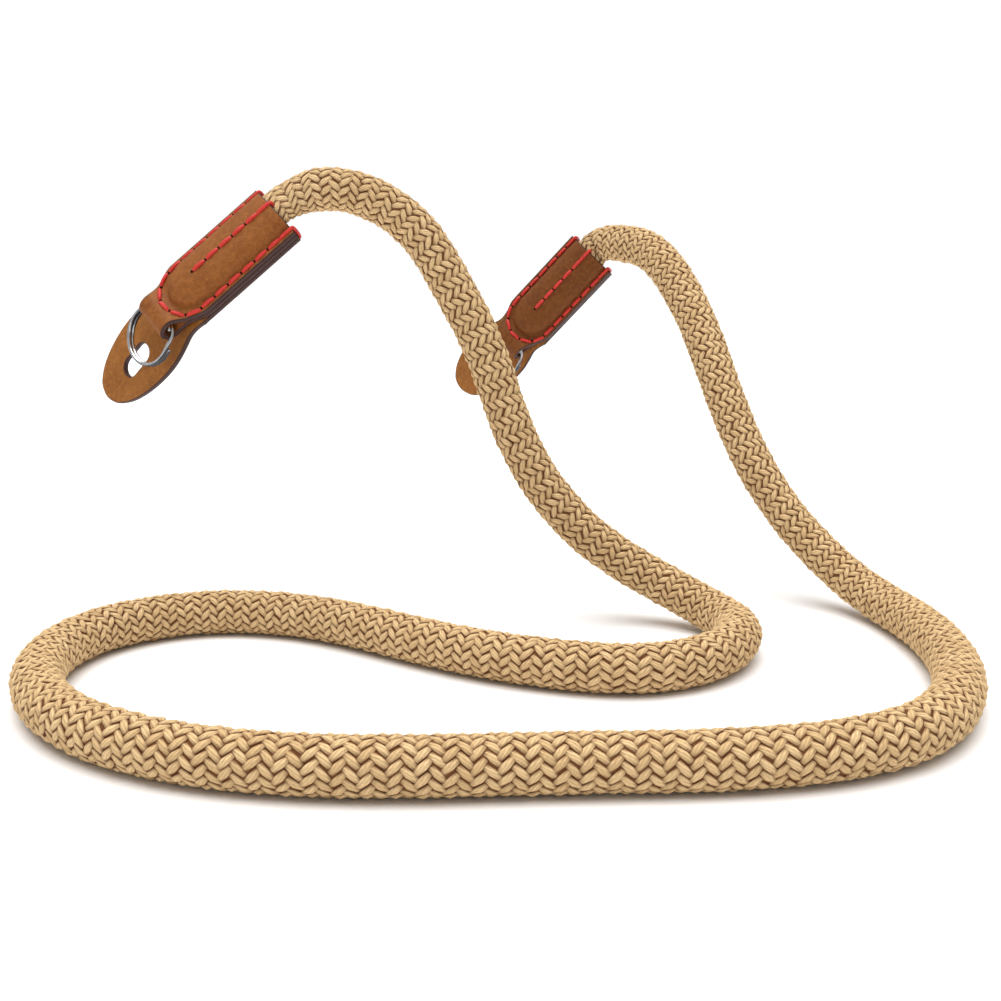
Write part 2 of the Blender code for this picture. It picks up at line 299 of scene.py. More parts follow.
# The yarns' floats: the short visible lengths, in rings that lean left and right by turns
FLOATS_ROUND = 14
FLOAT_PITCH = 0.0042
FLOAT_LEAN = 46
FLOAT_HALF_LENGTH = 0.00203
FLOAT_HALF_WIDTH = 0.00084
FLOAT_CREST = 0.00506
FLOAT_SINK = 0.00085
FLOAT_TIP_REACH = 1.04
FLOAT_TIP_DROP = 0.6
CORE_RADIUS = 0.00450
CORE_SIDES = 20
CORE_STEP = 0.0020
COUNT_SLACK = 0.0001

# How far a float strays, least and most: along and round the rope as shares of its pitch there, slewed
# by some radians, and larger by a share of its size
STRAYS = ((-0.035, 0.035), (-0.05, 0.05), (-0.09, 0.09), (-0.022, 0.016))

# A float's shape: along it, share of its width, share of its sink; and across it, share of its sink
FLOAT_ALONG = (
    (-1.00, 0.86, 1.00),
    (-0.78, 1.00, 0.34),
    (0.00, 1.00, 0.00),
    (0.78, 1.00, 0.34),
    (1.00, 0.86, 1.00),
)
FLOAT_ACROSS = (
    (-1.00, 0.76),
    (-0.68, 0.20),
    (0.00, 0.00),
    (0.68, 0.20),
    (1.00, 0.76),
    (0.00, 1.30),
)

# Tones of the braid: the yarn's dull and bright, painted shade in the grooves between its plies, its worn
# patches, painted shade and dirt where it dives under the next float, and the dark and light of the inside,
# whose darkness is painted shade between the floats
YARN_TONES = ((0.60, 0.395, 0.190), (0.91, 0.660, 0.362))
PLY_GROOVE_SHADE = (0.36, 0.200, 0.082)
PATCH_TONE = (0.68, 0.455, 0.220)
SUNK_SHADE_TONE = (0.115, 0.030, 0.009)
INSIDE_SHADE_TONES = ((0.110, 0.040, 0.015), (0.24, 0.105, 0.042))


def ease(share):
    share = np.clip(share, 0.0, 1.0)
    return share * share * (3 - 2 * share)


def mix(low, high, share):
    return low + (high - low) * share


def unit(vectors):
    return vectors / np.linalg.norm(vectors, axis=-1, keepdims=True)


def runs_of(points):
    """The length of a line up to each of its points."""
    return np.concatenate(([0.0], np.cumsum(np.linalg.norm(np.diff(points, axis=0), axis=1))))


def at_runs(points, runs, stops):
    return np.stack([np.interp(stops, runs, points[:, axis]) for axis in range(3)], axis=1)


def end_frame(location, turns):
    """A leather end's place and axes."""
    turned = Euler([math.radians(turn) for turn in turns]).to_matrix()
    return np.array(location), np.array(turned)


def into_part(points, location, turns):
    """Points of a leather end's own frame, in the part's frame."""
    place, axes = end_frame(location, turns)
    return np.asarray(points) @ axes.T + place


def spline_slopes(points, knots, leaves, returns):
    """Slopes at the points of the cubic spline that leaves and returns in the given directions."""
    spans = np.diff(knots)
    rises = np.diff(points, axis=0) / spans[:, None]
    count = len(points)
    matrix = np.eye(count)
    wanted = np.zeros((count, 3))
    wanted[0] = leaves
    wanted[-1] = returns
    for row in range(1, count - 1):
        before, after = spans[row - 1], spans[row]
        matrix[row, row - 1 : row + 2] = (after, 2 * (before + after), before)
        wanted[row] = 3 * (after * rises[row - 1] + before * rises[row])
    return np.linalg.solve(matrix, wanted)


def mouth_points(tuck):
    """The rope's middle at both mouths, or tucked some way into them."""
    return [
        into_part([(0.0, SLEEVE_LENGTH + space - tuck, ROPE_HEIGHT)], location, turns)[0]
        for _, location, turns, space in END_PLACES
    ]


def rope_line():
    """The rope's middle in even steps, from inside the left sleeve to inside the right one."""
    left, right = mouth_points(0.0)
    points = np.array([left, *ROPE_ROUTE, right])
    knots = runs_of(points)
    slopes = spline_slopes(points, knots, ROPE_LEAVES, ROPE_RETURNS)
    fine = []
    for row in range(len(points) - 1):
        span = knots[row + 1] - knots[row]
        for share in np.linspace(0, 1, SPLINE_STEPS, endpoint=False):
            between = mix(points[row], points[row + 1], ease(share))
            lean = slopes[row] * share * (1 - share) ** 2 - slopes[row + 1] * share**2 * (1 - share)
            fine.append(between + lean * span)
    left, right = mouth_points(ROPE_TUCK)
    fine = np.array([left, *fine, points[-1], right])
    runs = runs_of(fine)
    return at_runs(fine, runs, np.linspace(0, runs[-1], round(runs[-1] / LINE_STEP) + 1))


def carried_axes(line, first):
    """Two axes square to a line at each point, carried along it without twisting."""
    heading = unit(np.gradient(line, axis=0))
    ups = np.zeros_like(line)
    up = np.array(first, float)
    for row, ahead in enumerate(heading):
        up = unit(up - ahead * (up @ ahead))
        ups[row] = up
    return np.cross(heading, ups), ups


line = rope_line()
line_runs = runs_of(line)
press_axes = [end_frame(location, turns)[1][:, 2] for _, location, turns, _ in END_PLACES]
sides, ups = carried_axes(line, press_axes[0])


def lay_on_rope(points):
    """Carry points of a straight rope along X onto the rope's line, pressed flat at the mouths."""
    run = points[:, 0]
    offset = at_runs(sides, line_runs, run) * points[:, 1:2] + at_runs(ups, line_runs, run) * points[:, 2:3]
    from_end = np.minimum(run, line_runs[-1] - run)
    open_share = ease((from_end - ROPE_TUCK) / ROPE_ROUND_AFTER)[:, None]
    near_left = run < line_runs[-1] / 2
    press = np.where(near_left[:, None], press_axes[0], press_axes[1])
    high = press * (offset * press).sum(1)[:, None]
    offset = (offset - high) * mix(ROPE_NARROW, 1.0, open_share) + high * mix(ROPE_FLAT, 1.0, open_share)
    swell = np.interp(run / line_runs[-1], [row[0] for row in ROPE_SWELL], [row[1] for row in ROPE_SWELL])
    return at_runs(line, line_runs, run) + offset * (1 + swell * open_share[:, 0])[:, None]


def tube_faces(rings, around):
    """Quads between rings of a tube and a fan on each end, whose middles are the last two vertices."""
    faces = []
    for ring in range(rings - 1):
        for step in range(around):
            low, high = ring * around, (ring + 1) * around
            following = (step + 1) % around
            faces.append((low + step, low + following, high + following, high + step))
    first, last = rings * around, rings * around + 1
    top = (rings - 1) * around
    for step in range(around):
        following = (step + 1) % around
        faces.append((first, following, step))
        faces.append((last, top + step, top + following))
    return faces


def core_mesh():
    """The inside of the braid, seen only between the floats and coloured dark there as painted shade."""
    stops = np.linspace(0, line_runs[-1], round(line_runs[-1] / CORE_STEP) + 1)
    turns = np.linspace(0, 2 * math.pi, CORE_SIDES, endpoint=False)
    ring = [(CORE_RADIUS * math.sin(turn), CORE_RADIUS * math.cos(turn)) for turn in turns]
    straight = [(stop, *place) for stop in stops for place in ring]
    straight += [(stops[0], 0, 0), (stops[-1], 0, 0)]
    return lay_on_rope(np.array(straight)), tube_faces(len(stops), CORE_SIDES)


def yarn_material(name, seed):
    """Twisted cotton yarn: it darkens where it dives, as painted shade and dirt, and between its plies, as
    painted shade; no two floats have quite the same shade.
    """
    material, start, where = new_material(name)
    sunk = start.node("ShaderNodeAttribute", "Fac", {"attribute_name": "sunk"})
    shade = start.node("ShaderNodeAttribute", "Fac", {"attribute_name": "shade"})
    place = start.node("ShaderNodeAttribute", "Vector", {"attribute_name": "UVMap"})
    across, along = [start.node("ShaderNodeSeparateXYZ", axis, None, {"Vector": place}) for axis in "XY"]
    wander = noise(start, where, 1400.0, 2.0)
    plies = start.math("SINE", across * 19.0 + along * 9.0 + wander * 4.0 + seed, 0.0)
    fibre = noise(start, where, 5200.0, 3.0)
    patches = noise(start, where, 45.0, 2.0)
    colour = blend(start, *YARN_TONES, shade * 0.55 + fibre * 0.45)
    # Painted shade in the grooves between the plies
    colour = blend(start, colour, PLY_GROOVE_SHADE, squeeze(start, 1.0 - plies, 0.9, 2.4) * 0.45)
    colour = blend(start, colour, PATCH_TONE, patches * 0.35)
    # Painted shade and dirt where the float dives under the next one
    colour = blend(start, colour, SUNK_SHADE_TONE, squeeze(start, sunk, 0.19, 0.66))
    height = plies * 0.35 + fibre * 0.65
    return dress(material, start, colour, 0.78 + 0.14 * fibre, height, 0.00016, 0.15)


def float_mesh(name, lean):
    """One float of yarn on top of a straight rope: a rounded bar whose two ends dive under."""
    lean = math.radians(lean)
    vertices, places, depths = [], [], []

    def put(along, aside, sink):
        forward = along * math.cos(lean) - aside * math.sin(lean)
        round_rope = along * math.sin(lean) + aside * math.cos(lean)
        radius = FLOAT_CREST - sink
        turn = round_rope / ROPE_RADIUS
        vertices.append((forward, radius * math.sin(turn), radius * math.cos(turn)))
        # How deep each point lies, which the yarn's material turns into painted shade and dirt
        depths.append(min(max(sink / FLOAT_SINK, 0.0), 1.0))

    for along, width, dive in FLOAT_ALONG:
        for aside, drop in FLOAT_ACROSS:
            sink = (dive + drop * width) * FLOAT_SINK
            put(along * FLOAT_HALF_LENGTH, aside * width * FLOAT_HALF_WIDTH, sink)
            places.append((aside / 2 + 0.5, along / 2 + 0.5))
    for end, (along, width, dive) in ((-1, FLOAT_ALONG[0]), (1, FLOAT_ALONG[-1])):
        sink = (dive + FLOAT_TIP_DROP * width) * FLOAT_SINK
        put(along * FLOAT_HALF_LENGTH * FLOAT_TIP_REACH, 0.0, sink)
        places.append((0.5, end / 2 + 0.5))
    piece = add_piece(name, vertices, tube_faces(len(FLOAT_ALONG), len(FLOAT_ACROSS)), [])
    mesh = piece.data
    mesh.attributes.new("sunk", "FLOAT", "POINT").data.foreach_set("value", depths)
    layer = mesh.uv_layers.new(name="UVMap")
    for loop in mesh.loops:
        layer.data[loop.index].uv = places[loop.vertex_index]
    return piece


def new_tree(name, sizes):
    """A Geometry Nodes tree with named inputs; returns it and a socket for each input."""
    tree = bpy.data.node_groups.new(name, "GeometryNodeTree")
    tree.interface.new_socket("Geometry", in_out="INPUT", socket_type="NodeSocketGeometry")
    tree.interface.new_socket("Geometry", in_out="OUTPUT", socket_type="NodeSocketGeometry")
    for label, kind in sizes.items():
        tree.interface.new_socket(label, in_out="INPUT", socket_type="NodeSocket" + kind)
    entry = tree.nodes.new("NodeGroupInput")
    return tree, {socket.name: Socket(tree, socket) for socket in entry.outputs if socket.name}


def xyz(start, x, y, z):
    return start.node("ShaderNodeCombineXYZ", 0, None, {"X": x, "Y": y, "Z": z})


def rotation(start, x, y, z):
    return start.node("FunctionNodeEulerToRotation", 0, None, {"Euler": xyz(start, x, y, z)})


def chance(start, low, high, index, seed):
    """A number for each point, drawn at random from a fixed seed."""
    values = {"Min": low, "Max": high, "ID": index, "Seed": seed}
    return start.node("FunctionNodeRandomValue", "Value", {"data_type": "FLOAT"}, values)


def copies_on(start, points, template, turned, slew, size):
    """A copy of an object on each point: turned, slewed about its own upright and scaled."""
    both = {"Rotation": turned, "Rotate By": rotation(start, 0.0, 0.0, slew)}
    values = {
        "Points": points,
        "Instance": start.node("GeometryNodeObjectInfo", "Geometry", None, {"Object": template}),
        "Rotation": start.node("FunctionNodeRotateRotation", 0, {"rotation_space": "LOCAL"}, both),
        "Scale": xyz(start, size, size, size),
    }
    return start.node("GeometryNodeInstanceOnPoints", 0, None, values)


def end_tree(tree, geometry, material):
    """Realize the instances, set their material and join both to the tree's output."""
    geometry = geometry.node("GeometryNodeRealizeInstances", 0, None, {"Geometry": geometry})
    geometry = geometry.node("GeometryNodeSetMaterial", 0, None, {"Geometry": geometry, "Material": material})
    leave = tree.nodes.new("NodeGroupOutput")
    tree.links.new(geometry.output, leave.inputs[0])


def braid_tree():
    sizes = {"Float": "Object", "Rings": "Int", "Floats Round": "Int", "Pitch": "Float", "Start": "Float"}
    sizes |= {"Turn": "Float", "Unevenness": "Float", "Seed": "Int", "Material": "Material"}
    tree, given = new_tree("braid", sizes)
    start = given["Float"]
    index = start.node("GeometryNodeInputIndex", "Index")
    ring = start.math("FLOOR", index / given["Floats Round"] + COUNT_SLACK, 0.0)
    place = index - ring * given["Floats Round"]
    uneven, seed = given["Unevenness"], given["Seed"]
    astray = [
        chance(start, low, high, index, seed + extra) * uneven
        for extra, (low, high) in enumerate(STRAYS, start=1)
    ]
    forward = given["Start"] + (ring + astray[0]) * given["Pitch"]
    turn = (place + given["Turn"] + astray[1]) * (2 * math.pi) / given["Floats Round"]
    values = {"Count": given["Rings"] * given["Floats Round"], "Position": xyz(start, forward, 0.0, 0.0)}
    points = start.node("GeometryNodePoints", 0, None, values)
    about = rotation(start, turn, 0.0, 0.0)
    floats = copies_on(start, points, given["Float"], about, astray[2], 1.0 + astray[3])
    values = {"Geometry": floats, "Name": "shade", "Value": chance(start, 0.0, 1.0, index, seed + 5)}
    kind = {"data_type": "FLOAT", "domain": "INSTANCE"}
    floats = start.node("GeometryNodeStoreNamedAttribute", 0, kind, values)
    end_tree(tree, floats, given["Material"])
    return tree


def made_by(tree, name, values, source=None):
    """Run a tree on an object and keep its result as a plain mesh object."""
    mesh = source if source is not None else bpy.data.meshes.new(name + "_source")
    holder = bpy.data.objects.new(name + "_source", mesh)
    scene.collection.objects.link(holder)
    modifier = holder.modifiers.new("made", "NODES")
    modifier.node_group = tree
    for item in tree.interface.items_tree:
        if item.in_out == "INPUT" and item.name in values:
            modifier[item.identifier] = values[item.name]
    bpy.context.view_layer.update()
    graph = bpy.context.evaluated_depsgraph_get()
    result = bpy.data.meshes.new_from_object(holder.evaluated_get(graph))
    bpy.data.objects.remove(holder, do_unlink=True)
    piece = bpy.data.objects.new(name, result)
    result.name = name
    result.shade_smooth()
    scene.collection.objects.link(piece)
    return piece


# The braid's inside is coloured dark as painted shade between the floats
inside_material = plain_material("braid_inside", INSIDE_SHADE_TONES, (2500.0, 3.0), (0.9, 0.08), 0.0002, 0.1)
rope = add_piece("rope_inside", *core_mesh(), [inside_material])

braid = braid_tree()
rings = int(line_runs[-1] / FLOAT_PITCH)
float_pieces = []
for name, lean, begin, turn, seed in (
    ("right_leaning_floats", FLOAT_LEAN, 0.25, 0.0, 3),
    ("left_leaning_floats", -FLOAT_LEAN, 0.75, 0.5, 17),
):
    template = float_mesh(name + "_one", lean)
    piece = made_by(
        braid,
        name,
        {
            "Float": template,
            "Rings": rings,
            "Floats Round": FLOATS_ROUND,
            "Pitch": line_runs[-1] / rings,
            "Start": begin * FLOAT_PITCH,
            "Turn": turn,
            "Unevenness": 1.0,
            "Seed": seed,
            "Material": yarn_material(name, float(seed)),
        },
    )
    bpy.data.objects.remove(template, do_unlink=True)
    flat = np.empty(len(piece.data.vertices) * 3)
    piece.data.vertices.foreach_get("co", flat)
    piece.data.vertices.foreach_set("co", lay_on_rope(flat.reshape(-1, 3)).ravel())
    piece.data.update()
    float_pieces.append(piece)

for piece in (rope, *float_pieces):
    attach(piece, BODY)
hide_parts("rope")
# The rope's ends in the sleeves take the same dark inside colour, painted shade
for side, *_ in END_PLACES:
    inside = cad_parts[side + "_rope_end"]
    inside.data.materials.clear()
    inside.data.materials.append(rope.data.materials[0])

# Leather ends: at each side one strip of tan leather, painted dark along its cut edges, is moulded over
# the rope's end, narrowed to a neck, folded round the ring and brought back behind itself.

LEATHER = 0.0011
GAP = 0.00025
GAP_SHOWN = 0.00003
EDGE_ROUNDING = 0.00022
STRIP_WIDTH = 0.0164
NECK_WIDTH = 0.0100
NECK_START = -0.0003
NECK_END = 0.0090
FOLD_OUTER_REACH = 0.00325
FOLD_OUTER_HEIGHT = 0.0028
FOLD_CENTRE = -0.0003
FOLD_SETTLE = 0.0045
BULGE_HALF_WIDTH = 0.0061
BULGE_HEIGHT = 0.0031
BULGE_SHARPNESS = 2.45
BULGE_FILLET = 0.0007
BULGE_START = 0.0038
BULGE_NOSE = 0.0082
BULGE_LEAST_WIDTH = 0.0030
BULGE_FALL = 3.0
FRONT_TOP = (GAP + LEATHER) / 2 + LEATHER / 2
NOSE_END = BULGE_START + BULGE_NOSE

# Places across the strip, as shares of the bulge's half width, then towards the edge
COVER_SHARES = (0.0, 0.15, 0.30, 0.44, 0.57, 0.68, 0.77, 0.85, 0.91, 0.96, 1.0, 1.04, 1.09, 1.15)
COVER_EDGE_STEP = 0.00050

# Rows of the strip: down the front over the sleeve and its nose, round the fold, and up the back
SLEEVE_ROWS = 22
NOSE_ROWS = 44
FOLD_ROWS = 25
BACK_NOSE_ROWS = 20
BACK_SLEEVE_ROWS = 12

# The rim of a leather piece, from its face to its back: degrees up from square, share of the way down
RIM = ((50, 0), (20, 0), (0, 0.5), (-20, 1), (-50, 1))

# Tones of each cover's leather: side, dark, light and rubbed pale; the right's are darker, as painted shade.
# Then those of the edge paint
COVER_TONES = (
    ("left", (0.190, 0.056, 0.009), (0.330, 0.112, 0.022), (0.39, 0.150, 0.038)),
    ("right", (0.115, 0.031, 0.005), (0.210, 0.067, 0.012), (0.26, 0.095, 0.021)),
)
PAINT_TONES = ((0.032, 0.013, 0.011), (0.075, 0.034, 0.028))


def strip_half_width(y):
    """Half the strip's width: full over the sleeve, narrower at the neck and round the fold."""
    return mix(NECK_WIDTH, STRIP_WIDTH, ease((y - NECK_START) / (NECK_END - NECK_START))) / 2


def flat_top(y):
    """Outer face of the front layer away from the bulge."""
    return mix(FOLD_OUTER_HEIGHT, FRONT_TOP, ease((y - FOLD_CENTRE) / FOLD_SETTLE))


def bulge(x, y):
    """How far the rope's end lifts the front layer, with a rounded nose and a soft foot."""
    nose = np.maximum(0.0, NOSE_END - y) / BULGE_NOSE
    across = np.hypot(x / BULGE_HALF_WIDTH, nose)
    inside = np.clip(1 - across**BULGE_SHARPNESS, 0.0, 1.0) ** (1 / BULGE_SHARPNESS)
    beyond = -BULGE_FALL * BULGE_HALF_WIDTH * np.maximum(across - 1, 0)
    high = BULGE_HEIGHT * inside + beyond
    return (high + np.sqrt(high**2 + BULGE_FILLET**2)) / 2


def points_at(x, y, z):
    return np.stack(np.broadcast_arrays(x, y, z), axis=-1)


def front_face(x, y):
    """The cover's stitched face, as points of the leather end's frame."""
    return points_at(x, y, flat_top(y) + bulge(x, y))


def cover_columns(y):
    edge = float(strip_half_width(y))
    nose = min(max(0.0, NOSE_END - y) / BULGE_NOSE, 1.0)
    width = max(BULGE_HALF_WIDTH * math.sqrt(1 - nose * nose), BULGE_LEAST_WIDTH)
    half = [width * share for share in COVER_SHARES]
    last = edge - COVER_EDGE_STEP
    half += [mix(half[-1], last, 0.5), last, edge]
    return np.array([-x for x in half[:0:-1]] + half)


def cover_grid():
    """The strip's outer face, row by row: down the front, round the fold and up the back."""
    rows = []
    last = SLEEVE_LENGTH - COVER_EDGE_STEP
    straight = np.linspace(last, NOSE_END, SLEEVE_ROWS)
    for y in (SLEEVE_LENGTH, *straight, *np.linspace(NOSE_END, FOLD_CENTRE, NOSE_ROWS)[1:]):
        rows.append(front_face(cover_columns(y), np.full(1, y)))
    columns = cover_columns(FOLD_CENTRE)
    for angle in np.linspace(0, math.pi, FOLD_ROWS)[1:]:
        y = FOLD_CENTRE - FOLD_OUTER_REACH * math.sin(angle)
        z = FOLD_OUTER_HEIGHT * math.cos(angle)
        rows.append(points_at(columns, y, z))
    shaped = np.linspace(FOLD_CENTRE, NOSE_END, BACK_NOSE_ROWS)[1:]
    for y in (*shaped, *np.linspace(NOSE_END, last, BACK_SLEEVE_ROWS)[1:], SLEEVE_LENGTH):
        rows.append(points_at(cover_columns(y), y, -flat_top(y)))
    return np.array(rows)


def wall(outer, thickness, rounding):
    """A closed sheet under a grid of points, with a rounded rim; returns points, faces and rim marks."""
    rows, columns = outer.shape[:2]
    down, across = unit(np.gradient(outer, axis=0)), unit(np.gradient(outer, axis=1))
    normals = unit(np.cross(down, across))
    border = [(0, column) for column in range(columns)]
    border += [(row, columns - 1) for row in range(1, rows)]
    border += [(rows - 1, column) for column in range(columns - 2, -1, -1)]
    border += [(row, 0) for row in range(rows - 2, 0, -1)]
    top = outer.copy()
    bottom = outer - normals * thickness
    loops = [[] for _ in RIM]
    for row, column in border:
        away = -down[row, column] * (row == 0) + down[row, column] * (row == rows - 1)
        away = away - across[row, column] * (column == 0) + across[row, column] * (column == columns - 1)
        away = unit(away)
        edge, normal = outer[row, column], normals[row, column]
        top[row, column] = edge - away * rounding
        bottom[row, column] = edge - away * rounding - normal * thickness
        for loop, (turn, deep) in zip(loops, RIM):
            turn = math.radians(turn)
            level = mix(-rounding, rounding - thickness, deep)
            reach = rounding * (math.cos(turn) - 1)
            loop.append(edge + away * reach + normal * (level + rounding * math.sin(turn)))
    vertices = np.concatenate([top.reshape(-1, 3), bottom.reshape(-1, 3), *loops])
    size = rows * columns
    faces, marks = [], []
    for row in range(rows - 1):
        for column in range(columns - 1):
            low, high = row * columns + column, (row + 1) * columns + column
            faces.append((low, low + 1, high + 1, high))
            faces.append((size + low, size + high, size + high + 1, size + low + 1))
            marks += [0, 0]
    around = len(border)
    ladder = [[row * columns + column for row, column in border]]
    ladder += [[2 * size + rung * around + step for step in range(around)] for rung in range(len(RIM))]
    ladder.append([size + row * columns + column for row, column in border])
    for upper, lower in zip(ladder, ladder[1:]):
        for step in range(around):
            following = (step + 1) % around
            faces.append((upper[step], upper[following], lower[following], lower[step]))
            marks.append(1)
    return vertices, faces, marks


def leather_material(name, dark, light, rubbed):
    """Tan leather with a fine nap: cloudy colour, small pores and a soft sheen."""
    material, start, where = new_material(name)
    cloud = noise(start, where, 110.0, 4.0, 0.6)
    nap = noise(start, where, 900.0, 4.0, 0.6)
    grain = noise(start, where, 3600.0, 3.0, 0.6)
    pores = start.node("ShaderNodeTexVoronoi", "Distance", None, {"Vector": where, "Scale": 2300.0})
    tone = cloud * 0.32 + nap * 0.40 + grain * 0.28
    colour = blend(start, dark, light, squeeze(start, tone, 0.30, 0.70))
    colour = blend(start, colour, rubbed, squeeze(start, nap * 0.6 + grain * 0.4, 0.50, 0.72) * 0.35)
    height = grain * 0.45 + nap * 0.25 + squeeze(start, pores, 0.0, 0.5) * 0.3
    return dress(material, start, colour, 0.50 + 0.22 * nap, height, 0.00010, 0.2)


clouds = (350.0, 3.0, 0.6)
paint = plain_material("edge_paint", PAINT_TONES, (2500.0, 3.0), (0.42, 0.2), 0.00012, 0.2, clouds)
# One leather per side; the right one's darker tones are painted shade
cover_leathers = {side: leather_material(side + "_cover_leather", *tones) for side, *tones in COVER_TONES}
cover_points, cover_faces, cover_marks = wall(cover_grid(), LEATHER + (GAP - GAP_SHOWN) / 2, EDGE_ROUNDING)
for side, location, turns, _ in END_PLACES:
    cover = add_piece(
        side + "_cover_leather",
        into_part(cover_points, location, turns),
        cover_faces,
        [cover_leathers[side], paint],
        cover_marks,
    )
    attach(cover, BODY)
    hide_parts(side + "_cover")

# Guards: a second piece of the same leather behind each cover, sewn on with it, that runs on past the
# fold as a rounded tongue with a slot and keeps the ring off the camera's side.

SWING = 25
GUARD_BEND_Y = 0.0059
GUARD_BEND_LENGTH = 0.0026
GUARD_TONGUE = 0.0335
GUARD_HALF_WIDTH = 0.0096
GUARD_TURN = 10
SLOT_WIDTH = 0.0048
SLOT_LENGTH = 0.0098
SLOT_CENTRE = 0.0202
SLOT_SIDES = 12
GUARD_MID = (GAP + LEATHER) / 2 + LEATHER + GAP
GUARD_FOLD_ROWS = 8
GUARD_ROW_STEP = 0.003
GUARD_SLEEVE_ROWS = (-0.024, -0.002)
GUARD_TONGUE_ROWS = (0.005, GUARD_TONGUE)
GUARD_SIDE_END = -0.001
GUARD_SIDE_STEPS = 14
TONGUE_STEPS = 150
RUN_STEPS = 8
MERGE_DISTANCE = 1e-6
FACE_UPRIGHT = 0.995
SHARP_EDGE = 50
GUARD_TONES = ((0.220, 0.073, 0.012), (0.360, 0.137, 0.026), (0.42, 0.180, 0.045))

# Outline of the guard's tongue: share of its length, share of its half width
TONGUE_OUTLINE = (
    (0.00, 0.85),
    (0.08, 0.79),
    (0.15, 0.79),
    (0.24, 0.88),
    (0.35, 0.97),
    (0.47, 1.00),
    (0.60, 0.96),
    (0.72, 0.87),
    (0.83, 0.73),
    (0.91, 0.56),
    (0.97, 0.35),
    (1.00, 0.00),
)


def guard_place(x, run, height):
    """A point of the flat guard, bent back from the sleeve. Run is down from the bend's start."""
    turn = math.radians(SWING)
    radius = GUARD_BEND_LENGTH / turn
    begin = GUARD_BEND_Y + GUARD_BEND_LENGTH / 2
    angle = np.clip(run, 0.0, GUARD_BEND_LENGTH) / radius
    beyond = np.maximum(run - GUARD_BEND_LENGTH, 0.0)
    before = np.minimum(run, 0.0)
    y = begin - before - radius * np.sin(angle) - beyond * math.cos(turn)
    z = -GUARD_MID - radius * (1 - np.cos(angle)) - beyond * math.sin(turn)
    return points_at(x, y - height * np.sin(angle), z + height * np.cos(angle))


def smooth_run(points, count):
    """Even steps along a smooth open line through points, as Catmull-Rom runs."""
    points = np.array([points[0], *points, points[-1]])
    dense = []
    for a, b, c, d in zip(points, points[1:], points[2:], points[3:]):
        for share in np.linspace(0, 1, RUN_STEPS, endpoint=False):
            bend = (2 * a - 5 * b + 4 * c - d) * share**2 + (3 * b - a - 3 * c + d) * share**3
            dense.append((2 * b + (c - a) * share + bend) / 2)
    dense = np.array([*dense, points[-1]])
    runs = runs_of(dense)
    stops = np.linspace(0, runs[-1], count)
    return np.stack([np.interp(stops, runs, dense[:, axis]) for axis in range(2)], axis=1)


def guard_outline():
    """The flat guard's outline: x and run."""
    half_bend = GUARD_BEND_LENGTH / 2
    top = GUARD_BEND_Y + half_bend - SLEEVE_LENGTH
    skew = math.tan(math.radians(GUARD_TURN))
    sides = [(STRIP_WIDTH / 2, run) for run in np.linspace(top, GUARD_SIDE_END, GUARD_SIDE_STEPS)]
    right, left = [], []
    for share, width in TONGUE_OUTLINE:
        along = share * GUARD_TONGUE
        right.append((width * GUARD_HALF_WIDTH - along * skew, along + half_bend))
        left.append((-width * GUARD_HALF_WIDTH - along * skew, along + half_bend))
    tongue = smooth_run(right + left[-2::-1], TONGUE_STEPS)
    return [*sides, *[tuple(point) for point in tongue], *[(-x, run) for x, run in sides[::-1]]]


def slot_outline():
    """The slot's outline, round at both ends, in line with the tongue."""
    lean = math.radians(GUARD_TURN)
    centre = np.array((-SLOT_CENTRE * math.tan(lean), SLOT_CENTRE + GUARD_BEND_LENGTH / 2))
    outline = []
    for end in (1, -1):
        for step in range(SLOT_SIDES + 1):
            angle = math.pi * step / SLOT_SIDES + (0 if end > 0 else math.pi)
            x = SLOT_WIDTH / 2 * math.cos(angle)
            run = SLOT_WIDTH / 2 * math.sin(angle) + end * (SLOT_LENGTH - SLOT_WIDTH) / 2
            turned = (x * math.cos(lean) - run * math.sin(lean), x * math.sin(lean) + run * math.cos(lean))
            outline.append(tuple(centre + turned))
    return outline


